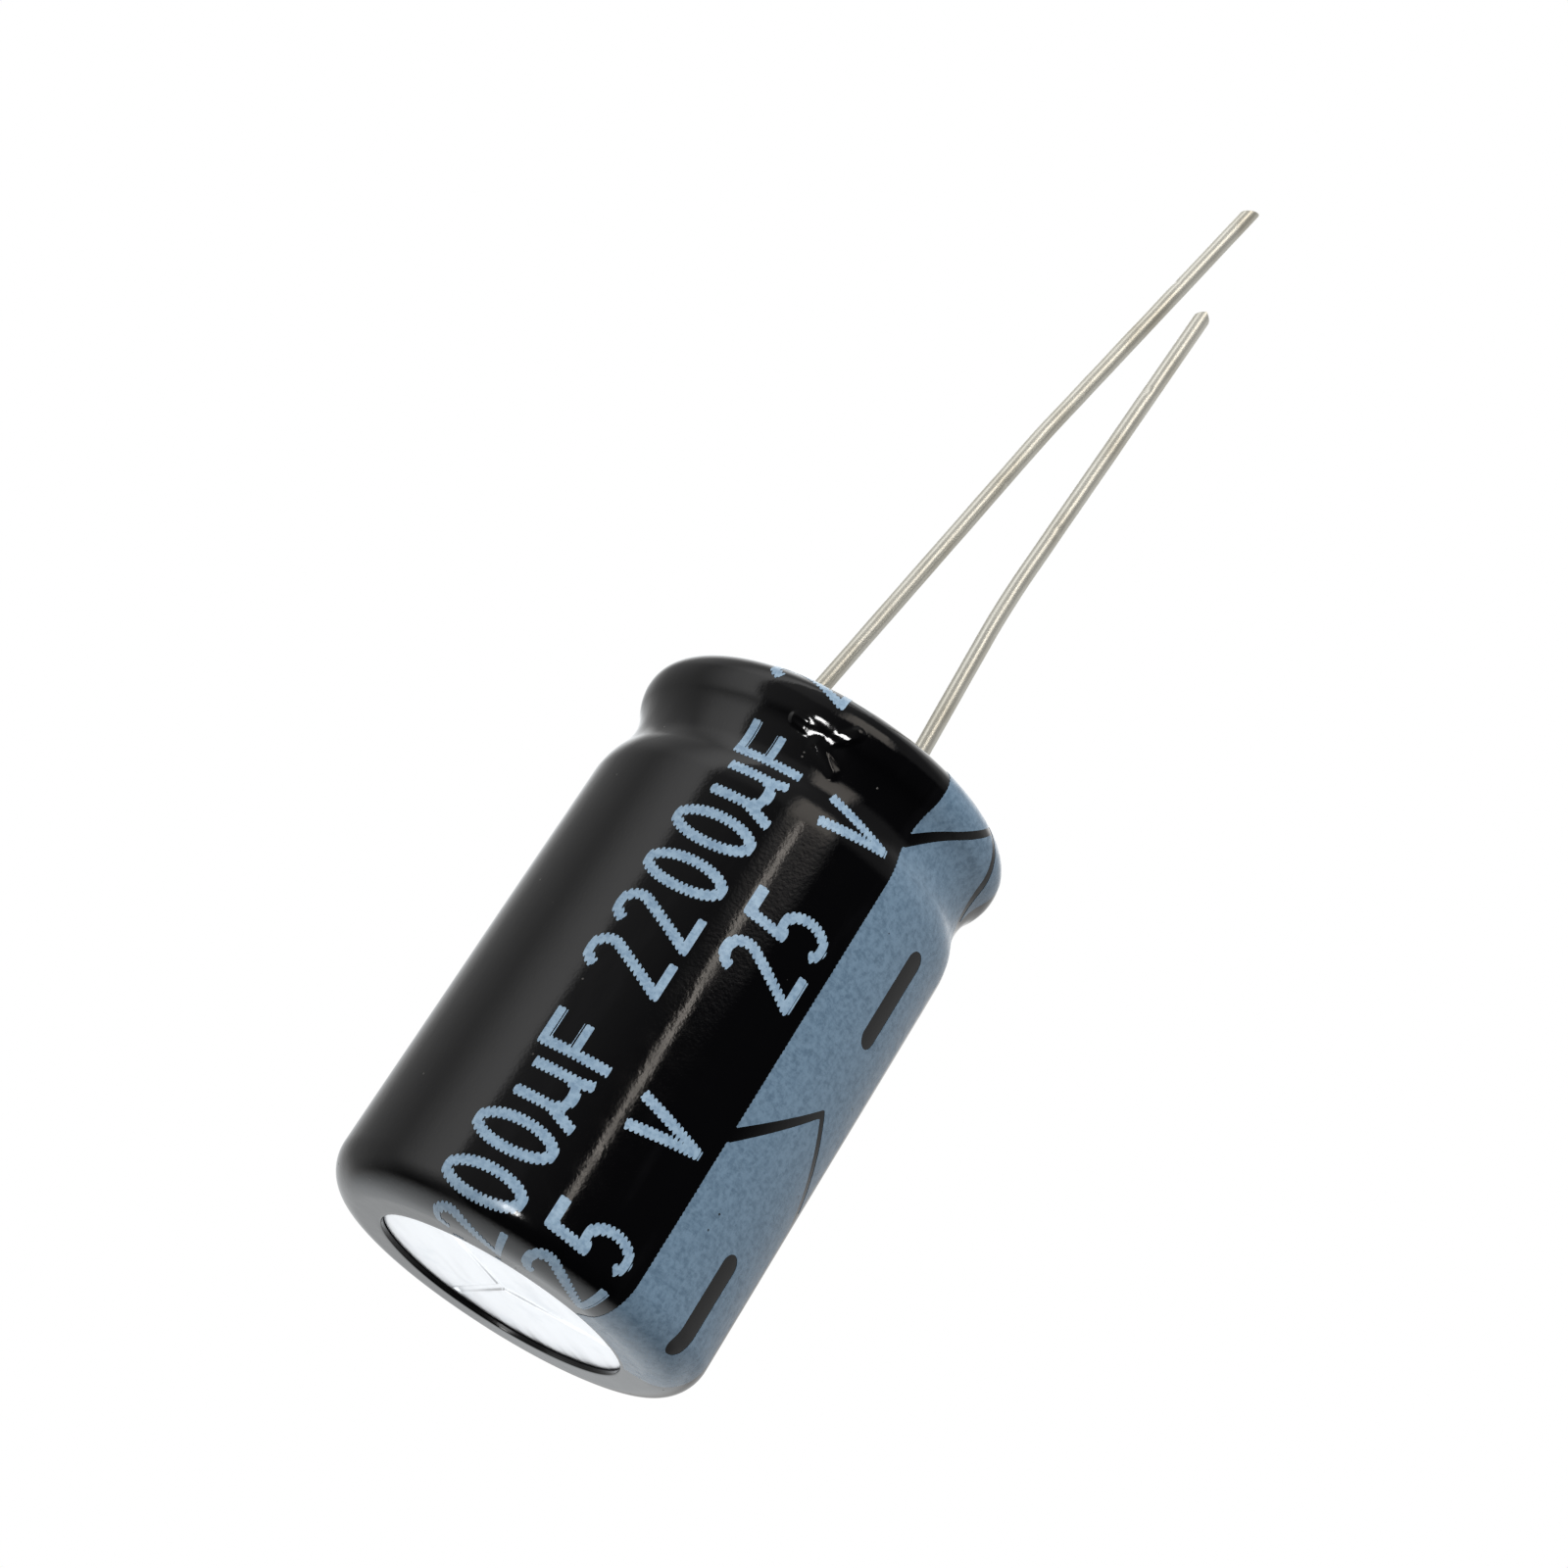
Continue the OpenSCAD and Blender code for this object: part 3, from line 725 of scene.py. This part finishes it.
def wire_stations(run, step):
    """(sideways, height, lean, length so far) along a wire of [straight, bend, radius] steps"""
    side, height, lean, gone = 0.0, 0.0, 0.0, 0.0
    stations = []
    for straight, bend, radius in run:
        for t in spaced(0, straight, step):
            stations.append((side + t * math.sin(lean), height + t * math.cos(lean), lean, gone + t))
        side += straight * math.sin(lean)
        height += straight * math.cos(lean)
        gone += straight
        if bend:
            curve = math.copysign(radius, bend)
            for t in spaced(0, math.radians(abs(bend)), step / radius):
                now = lean + math.copysign(t, bend)
                stations.append((side + curve * (math.cos(lean) - math.cos(now)),
                                 height + curve * (math.sin(now) - math.sin(lean)),
                                 now, gone + t * radius))
            end = lean + math.radians(bend)
            side += curve * (math.cos(lean) - math.cos(end))
            height += curve * (math.sin(end) - math.sin(lean))
            lean = end
            gone += radius * math.radians(abs(bend))
    return np.array(stations), gone


def wire_radius(angle, gone, nicks, seed):
    """The wire's radius round and along it, wavy and nicked by the pliers"""
    radius = WIRE_R - WIRE_WAVE + waves(seed, 10, (0, 3), (0.05, 0.5), WIRE_WAVE)(angle, gone)
    for at, turn, depth, half_run, half_turn in nicks:
        away = (angle - math.radians(turn) + math.pi) % (2 * math.pi) - math.pi
        hollow = np.exp(-(((gone - at) / half_run) ** 4) - (away / math.radians(half_turn)) ** 2)
        radius = radius - depth * hollow
    return radius


def wire_ring(station, further, across, out):
    """Points (sideways, out, height) round the wire at a station, or further along its lean"""
    side, height, lean = station[..., 0:1], station[..., 1:2], station[..., 2:3]
    return np.stack([side + further * np.sin(lean) + across * np.cos(lean), out,
                     height + further * np.cos(lean) - across * np.sin(lean)], -1)


def lead_piece(name, side, run, cut, nicks, seed, material):
    """Tinned wire on its bent route. cut gives how far below its end each part of the tip lies."""
    stations, length = wire_stations(run, WIRE_STEP)
    stations = stations[stations[:, 3] < length - TIP_LENGTH]
    angle = np.arange(WIRE_COLUMNS) * 2 * math.pi / WIRE_COLUMNS
    radius = wire_radius(angle[None, :], stations[:, 3:4], nicks, seed)
    rings = [wire_ring(stations, 0, radius * np.cos(angle), radius * np.sin(angle))]
    base, left = stations[-1], length - stations[-1, 3]
    for share, scale in TIP_RINGS:
        across, out = radius[-1] * scale * np.cos(angle), radius[-1] * scale * np.sin(angle)
        rings.append(wire_ring(base, share * (left - cut(across)), across, out)[None])
    local = np.concatenate(rings)
    middle = np.zeros(1)
    top = wire_ring(base, left - cut(middle), middle, middle)
    faces = capped_faces(len(local), WIRE_COLUMNS)
    local = np.vstack([local.reshape(-1, 3), (0, 0, local[0, 0, 2]), top])
    way = math.radians(BEND_WAY)
    points = np.stack([side * PITCH / 2 + local[:, 0] * math.cos(way) - local[:, 1] * math.sin(way),
                       local[:, 0] * math.sin(way) + local[:, 1] * math.cos(way),
                       TAB_HIGH.z + local[:, 2]], -1)
    return mesh_piece(name, points, faces, material, sharp=35)


def slant_cut(across):
    """Tip nipped at one slant: its far side is the longest"""
    return (WIRE_R - across) * math.tan(math.radians(NIP_SLANT))


def chisel_cut(across):
    """Tip nipped from both sides, with its edge in the middle"""
    return (WIRE_R + np.abs(across)) * math.tan(math.radians(NIP_SLANT))


class Graph:
    """Short calls for the nodes of one material or of the world"""

    def __init__(self, owner):
        self.owner = owner
        owner.use_nodes = True
        self.tree = owner.node_tree
        self.tree.nodes.clear()

    def node(self, kind, inputs=(), **settings):
        made = self.tree.nodes.new("ShaderNode" + kind)
        for key, value in settings.items():
            setattr(made, key, value)
        for key, value in dict(inputs).items():
            if isinstance(value, bpy.types.NodeSocket):
                self.tree.links.new(value, made.inputs[key])
            else:
                made.inputs[key].default_value = value
        return made

    def place(self, stretch=(1, 1, 1)):
        """The point on the object in millimetres, stretched"""
        here = self.node("TexCoord").outputs["Object"]
        scale = tuple(s / MM for s in stretch)
        return self.node("Mapping", {"Vector": here, "Scale": scale}).outputs[0]

    def noise(self, per_mm, detail=3.0, stretch=(1, 1, 1), rough=0.5):
        inputs = {"Vector": self.place(stretch), "Scale": per_mm, "Detail": detail, "Roughness": rough}
        return self.node("TexNoise", inputs).outputs[0]

    def ramp(self, value, low, high, first=0.0, last=1.0):
        """first below low, last above high, and smooth between them"""
        inputs = {"Value": value, "From Min": low, "From Max": high, "To Min": first, "To Max": last}
        return self.node("MapRange", inputs, interpolation_type="SMOOTHSTEP").outputs[0]

    def maths(self, operation, a, b=0.0):
        return self.node("Math", {0: a, 1: b}, operation=operation).outputs[0]

    def times(self, a, b):
        return self.maths("MULTIPLY", a, b)

    def add(self, *levels):
        total = levels[0]
        for level in levels[1:]:
            total = self.maths("ADD", total, level)
        return total

    def blend(self, share, a, b):
        """Colour between a and b"""
        return self.node("Mix", {0: share, 6: a, 7: b}, data_type="RGBA").outputs[2]

    def bump(self, height, depth, strength, below=None):
        inputs = {"Height": height, "Distance": depth * MM, "Strength": strength}
        if below:
            inputs["Normal"] = below
        return self.node("Bump", inputs).outputs[0]

    def finish(self, shader):
        """The material, with this shader on its surface"""
        self.node("OutputMaterial", {"Surface": shader})
        return self.owner

    def principled(self, **inputs):
        named = {key.replace("_", " "): value for key, value in inputs.items()}
        return self.finish(self.node("BsdfPrincipled", named).outputs[0])


def new_graph(name):
    return Graph(bpy.data.materials.new(name))


def specks(graph, per_mm, size, seed):
    """1 in small scattered dots and 0 elsewhere"""
    shifted = graph.node("Mapping", {"Vector": graph.place(), "Location": (seed, seed * 0.7, seed * 1.3)})
    dots = graph.node("TexVoronoi", {"Vector": shifted.outputs[0], "Scale": per_mm})
    pick = graph.node("SeparateColor", {0: dots.outputs["Color"]}).outputs[0]
    near = graph.ramp(dots.outputs["Distance"], size * 0.6, size, 1, 0)
    return graph.times(near, graph.ramp(pick, 0.955, 0.975))


def sleeve_finish():
    """Very glossy black film with fine grain, faint rub marks and dust"""
    graph = new_graph("black_film")
    dust = specks(graph, 3.0, 0.12, 4.0)
    rub = graph.ramp(graph.noise(0.9, 5.0, (1, 1, 0.25)), 0.55, 0.8)
    black = graph.blend(rub, (0.0018, 0.0018, 0.0022, 1), (0.0042, 0.0042, 0.0048, 1))
    colour = graph.blend(dust, black, (0.09, 0.085, 0.08, 1))
    rough = graph.add(graph.ramp(graph.noise(1.6, 4.0), 0.3, 0.8, 0.06, 0.12), graph.times(dust, 0.4))
    peel = graph.bump(graph.noise(1.3, 2.0, (1, 1, 0.5)), 0.02, 0.25)
    grain = graph.bump(graph.noise(9.0, 3.0), 0.004, 0.6, peel)
    raised = graph.bump(dust, 0.02, 0.5, grain)
    return graph.principled(Base_Color=colour, Roughness=rough, IOR=1.5, Normal=raised)


def ink_finish(name, light, dark, pits):
    """Pale ink, mottled and finely streaked by the printing cells, with dark pin holes"""
    graph = new_graph(name)
    mottle = graph.ramp(graph.noise(4.5, 5.0, rough=0.7), 0.36, 0.64)
    streak = graph.ramp(graph.noise(2.2, 2.0, (1, 1, 5)), 0.35, 0.75, 0, 0.55)
    colour = graph.blend(mottle, dark, light)
    colour = graph.blend(streak, colour, light)
    hole = specks(graph, 3.2, 0.16, 9.0)
    colour = graph.blend(graph.times(hole, pits), colour, (0.012, 0.014, 0.018, 1))
    rough = graph.ramp(graph.noise(3.0, 3.0), 0.3, 0.8, 0.18, 0.34)
    grain = graph.bump(graph.noise(7.0, 4.0), 0.004, 0.4)
    return graph.principled(Base_Color=colour, Roughness=rough, IOR=1.5, Normal=grain)


def aluminium_finish():
    """Drawn aluminium: pale, softly brushed, with a few darker handling marks, and painted shade that
    darkens it in the scored grooves and other crevices
    """
    graph = new_graph("drawn_aluminium")
    brush = graph.noise(3.0, 5.0, (1, 0.12, 1), 0.6)
    mark = graph.ramp(graph.noise(0.8, 4.0), 0.5, 0.75)
    colour = graph.blend(mark, (0.91, 0.91, 0.92, 1), (0.83, 0.84, 0.86, 1))
    # Painted shade: ambient occlusion turns the colour dark grey in grooves and crevices
    shade = graph.node("AmbientOcclusion", {"Distance": 0.12 * MM}, samples=8).outputs["AO"]
    colour = graph.blend(graph.ramp(shade, 0.55, 0.95), (0.42, 0.43, 0.45, 1), colour)
    rough = graph.ramp(brush, 0.3, 0.7, 0.34, 0.48)
    line = graph.bump(brush, 0.006, 0.3)
    return graph.principled(Base_Color=colour, Metallic=1.0, Roughness=rough, Normal=line)


def tinned_finish():
    """Tin plating on wire, warm with a little tarnish and fine drawing lines along it"""
    graph = new_graph("tinned_wire")
    tarnish = graph.ramp(graph.noise(1.1, 5.0, (1, 1, 0.4)), 0.42, 0.75)
    colour = graph.blend(tarnish, (0.88, 0.86, 0.77, 1), (0.72, 0.68, 0.57, 1))
    rough = graph.ramp(graph.noise(3.0, 3.0, (1, 1, 0.2)), 0.3, 0.8, 0.28, 0.38)
    line = graph.bump(graph.noise(5.0, 2.0, (1, 1, 0.02)), 0.004, 0.3)
    lump = graph.bump(graph.noise(1.2, 2.0, (1, 1, 0.3)), 0.010, 0.2, line)
    return graph.principled(Base_Color=colour, Metallic=0.7, Roughness=rough, Normal=lump)


def rubber_finish():
    """Matt moulded rubber with bloom and dust"""
    graph = new_graph("black_rubber")
    bloom = graph.ramp(graph.noise(1.2, 5.0), 0.4, 0.75)
    colour = graph.blend(bloom, (0.012, 0.012, 0.013, 1), (0.032, 0.031, 0.03, 1))
    colour = graph.blend(specks(graph, 4.0, 0.15, 2.0), colour, (0.2, 0.19, 0.17, 1))
    rough = graph.ramp(graph.noise(3.5, 3.0), 0.3, 0.8, 0.5, 0.72)
    grain = graph.bump(graph.noise(8.0, 4.0), 0.012, 0.6)
    return graph.principled(Base_Color=colour, Roughness=rough, Normal=grain)


def roll_finish():
    """Paper and foil edges of the wound element"""
    graph = new_graph("wound_paper")
    colour = graph.blend(graph.noise(3.0, 4.0), (0.52, 0.45, 0.33, 1), (0.66, 0.60, 0.48, 1))
    layer = graph.bump(graph.noise(6.0, 3.0, (1, 1, 0.05)), 0.02, 0.4)
    rough = graph.ramp(graph.noise(2.0), 0.3, 0.7, 0.6, 0.85)
    return graph.principled(Base_Color=colour, Roughness=rough, Normal=layer)


def tape_finish():
    """Smooth film tape"""
    graph = new_graph("film_tape")
    colour = graph.blend(graph.noise(1.5, 3.0), (0.75, 0.62, 0.30, 1), (0.82, 0.70, 0.40, 1))
    ripple = graph.bump(graph.noise(0.8, 2.0), 0.03, 0.3)
    rough = graph.ramp(graph.noise(2.0), 0.3, 0.7, 0.2, 0.35)
    return graph.principled(Base_Color=colour, Roughness=rough, Normal=ripple)


def azimuth_vector(azimuth, elevation=0.0):
    a, e = math.radians(azimuth), math.radians(elevation)
    return Vector((math.cos(a) * math.cos(e), math.sin(a) * math.cos(e), math.sin(e)))


CAMERA_AZIMUTH = -54


def ray_angles(graph):
    """A ray's turn and rise in degrees, and a function for its cosine to a direction.
    The turn is counted to the right from the camera's side."""
    way = graph.node("TexCoord").outputs["Generated"]

    def cosine(direction):
        dot = graph.node("VectorMath", {0: way, 1: direction}, operation="DOT_PRODUCT")
        return dot.outputs["Value"]

    near = cosine(azimuth_vector(CAMERA_AZIMUTH))
    turn = graph.maths("ARCTAN2", cosine(azimuth_vector(CAMERA_AZIMUTH + 90)), near)
    rise = graph.maths("ARCSINE", cosine(Vector((0, 0, 1))))
    return graph.times(turn, 180 / math.pi), graph.times(rise, 180 / math.pi), cosine


def panel(graph, turn, rise, middle, half_turn, low, high, soft, level):
    """Soft-edged panel round a turn, between two rises"""
    away = graph.maths("ABSOLUTE", graph.maths("SUBTRACT", turn, middle))
    across = graph.ramp(away, half_turn - soft, half_turn + soft, level, 0)
    up = graph.times(graph.ramp(rise, low - soft, low + soft),
                     graph.ramp(rise, high - soft, high + soft, 1, 0))
    return graph.times(across, up)


def studio_light(graph):
    """Level and tint of the studio that the gloss mirrors, panel by panel"""
    turn, rise, cosine = ray_angles(graph)
    screen = graph.times(graph.ramp(turn, -104, -64, 0.12, 0.95), graph.ramp(turn, -64, -57, 1, 0))
    room = graph.ramp(turn, -70, 22, 0.22, 0.01)
    behind = graph.times(graph.ramp(turn, 112, 150), graph.ramp(rise, -12, 2, 0.6, 0.1))
    right = graph.add(graph.ramp(turn, 58, 105, 0, 0.38), behind)
    left = graph.times(graph.ramp(turn, -168, -134, 1, 0), graph.ramp(rise, -14, -4, 0.5, 0.45))
    table = graph.ramp(cosine(azimuth_vector(CAMERA_AZIMUTH + 180, -64)), 0.62, 0.98, 0, 1.5)
    high_back = graph.ramp(cosine(azimuth_vector(CAMERA_AZIMUTH + 180, 48)), 0.8, 0.97, 0, 0.8)
    side = graph.times(graph.add(screen, room, right, left), graph.ramp(rise, -44, -10, 0.12, 1))
    high = graph.ramp(rise, 24, 36, 0, 0.14)
    strip_middle = graph.ramp(rise, 13, 22, 3.2, -0.2)
    strip = panel(graph, turn, rise, strip_middle, 1.6, 12.6, 22, 1.2, 4.6)
    glow = panel(graph, turn, rise, 5, 15, 22, 52, 4.5, 1.5)
    warm = graph.blend(graph.ramp(graph.add(strip, glow), 0.1, 1.0), (1, 1, 1, 1), (1, 0.93, 0.85, 1))
    cool = graph.ramp(graph.add(table, left, behind), 0.1, 0.7)
    tint = graph.blend(cool, warm, (0.94, 0.975, 1.0, 1))
    return graph.add(side, table, high_back, high, strip, glow), tint


def build_world():
    """White to the camera, soft white on matt surfaces, and a shaped studio in reflections"""
    world = bpy.data.worlds.new("studio")
    bpy.context.scene.world = world
    graph = Graph(world)
    level, tint = studio_light(graph)
    rays = graph.node("LightPath").outputs
    white = graph.maths("MAXIMUM", rays["Is Camera Ray"], rays["Is Transmission Ray"])
    plain = graph.node("Background", {"Color": (1, 1, 1, 1), "Strength": 0.38}).outputs[0]
    studio = graph.node("Background", {"Color": tint, "Strength": level}).outputs[0]
    paper = graph.node("Background", {"Color": (1, 1, 1, 1), "Strength": 1.0}).outputs[0]
    lit = graph.node("MixShader", {0: rays["Is Glossy Ray"], 1: plain, 2: studio}).outputs[0]
    seen = graph.node("MixShader", {0: white, 1: lit, 2: paper}).outputs[0]
    graph.node("OutputWorld", {"Surface": seen})


def add_lamp(name, azimuth, elevation, distance, side, level, glossy):
    """Square lamp of even brightness that faces the middle of the can. It shows only in the gloss,
    or only lights matt surfaces."""
    data = bpy.data.lights.new(name, "AREA")
    data.size = side * MM
    data.energy = level * math.pi * data.size**2
    lamp = bpy.data.objects.new(name, data)
    bpy.context.scene.collection.objects.link(lamp)
    middle = Vector((0, 0, SLEEVE_HIGH.z / 2))
    place = middle + azimuth_vector(azimuth, elevation) * distance
    facing = (place - middle).to_track_quat("Z", "Y").to_matrix().to_4x4()
    lamp.matrix_world = Matrix.Translation(place * MM) @ facing
    lamp.visible_camera = False
    lamp.visible_glossy = glossy
    lamp.visible_diffuse = not glossy


def build_lamps():
    add_lamp("key", -52, 30, 300, 200, 5.4, False)
    add_lamp("back_fill", 128, 42, 300, 200, 1.8, False)
    add_lamp("low_spot", -73.5, -23.5, 200, 32, 28.0, True)


FLOOR_R = 400.0
FLOOR_DROP = 0.01
FLOOR_FADE = (150.0, 380.0)


def build_floor():
    """Pale floor under the closed end. It is clear from below, where the photograph's view comes from."""
    columns = 96
    turn = np.arange(columns) * 2 * math.pi / columns
    points = np.stack([FLOOR_R * np.cos(turn), FLOOR_R * np.sin(turn), 0 * turn - FLOOR_DROP], -1)
    graph = new_graph("pale_floor")
    paper = graph.node("BsdfDiffuse", {"Color": (0.86, 0.86, 0.86, 1)}).outputs[0]
    glow = graph.node("Emission", {"Color": (1, 1, 1, 1), "Strength": 0.14}).outputs[0]
    lit = graph.node("AddShader", {0: paper, 1: glow}).outputs[0]
    clear = graph.node("BsdfTransparent").outputs[0]
    distance = graph.node("VectorMath", {0: graph.place()}, operation="LENGTH").outputs["Value"]
    edge = graph.ramp(distance, *FLOOR_FADE)
    back = graph.node("NewGeometry").outputs["Backfacing"]
    share = graph.maths("MAXIMUM", edge, back)
    material = graph.finish(graph.node("MixShader", {0: share, 1: lit, 2: clear}).outputs[0])
    floor = mesh_piece("floor", points, [list(range(columns))], material)
    floor.visible_shadow = False
    floor.visible_glossy = False
    floor.visible_diffuse = False
    floor.visible_transmission = False


# The photograph's view: its place, its directions of right and up, and a lens for a 36 mm sensor
CAMERA_PLACE = Vector((57.03, -78.50, -19.76))
CAMERA_RIGHT = Vector((0.7944, 0.3407, 0.5029))
CAMERA_UP = Vector((-0.2478, -0.5741, 0.7804))
CAMERA_LENS = 73.9


def build_camera():
    data = bpy.data.cameras.new("photo_view")
    data.lens = CAMERA_LENS
    data.sensor_width = 36
    data.clip_start = 0.001
    data.clip_end = 10
    camera = bpy.data.objects.new("photo_view", data)
    bpy.context.scene.collection.objects.link(camera)
    right = CAMERA_RIGHT.normalized()
    back = right.cross(CAMERA_UP).normalized()
    turn = Matrix((right, back.cross(right), back)).transposed().to_4x4()
    camera.matrix_world = Matrix.Translation(CAMERA_PLACE * MM) @ turn
    bpy.context.scene.camera = camera


def dress(node, material):
    """Gives a CAD node that stays in view its finish"""
    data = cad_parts[node].data
    data.materials.clear()
    data.materials.append(material)


def attach(piece, slot, *nodes):
    """Rides a piece on the part and hides the nodes that it stands for. The slot is not used."""
    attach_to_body(piece, "root")
    if nodes:
        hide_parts(*nodes)


# Marks of the pliers on each wire: length along it, turn, depth, half length and half turn
LONG_NICKS = ((6.4, 100, 0.03, 0.12, 30), (14.2, -40, 0.025, 0.1, 25), (24.8, 200, 0.03, 0.1, 30))
SHORT_NICKS = ((5.1, 60, 0.03, 0.12, 30), (12.0, -80, 0.02, 0.14, 35), (18.4, 230, 0.05, 0.11, 30))


def build_object():
    film = sleeve_finish()
    letter_ink = ink_finish("letter_ink", (0.33, 0.46, 0.585, 1), (0.205, 0.31, 0.43, 1), 0.8)
    # The stripe's ink is the letter ink darkened: painted shade for the stripe's side of the can, which
    # faces away from the light
    shade_darkened_stripe_ink = ink_finish("shade_darkened_stripe_ink", (0.18, 0.272, 0.37, 1), (0.108, 0.175, 0.25, 1), 1.0)
    aluminium = aluminium_finish()
    tin = tinned_finish()
    rubber = rubber_finish()
    attach(sleeve_piece(film), "sleeve", "sleeve")
    attach(stripe_piece(shade_darkened_stripe_ink), "sleeve")
    attach(row_piece("value_row", ROW_1_AZIMUTH, ROW_1_RUN, ROW_1, letter_ink), "sleeve")
    attach(row_piece("voltage_row", ROW_2_AZIMUTH, ROW_2_RUN, ROW_2, letter_ink), "sleeve")
    attach(can_piece(aluminium), "can", "can")
    attach(bung_piece(rubber), "rubber", "bung")
    long_lead = lead_piece("positive_wire", -1, POSITIVE_RUN, slant_cut, LONG_NICKS, 5, tin)
    short_lead = lead_piece("negative_wire", 1, NEGATIVE_RUN, chisel_cut, SHORT_NICKS, 6, tin)
    attach(long_lead, "tinned_wire", "positive_lead")
    attach(short_lead, "tinned_wire", "negative_lead")
    attach(weld_piece("positive_weld", -1, 41, aluminium), "tab")
    attach(weld_piece("negative_weld", 1, 42, aluminium), "tab")
    dress("positive_tab", aluminium)
    dress("negative_tab", aluminium)
    dress("element", roll_finish())
    dress("fixing_tape", tape_finish())


build_camera()
build_object()
build_world()
build_lamps()
build_floor()
bpy.context.scene.view_settings.view_transform = "Standard"
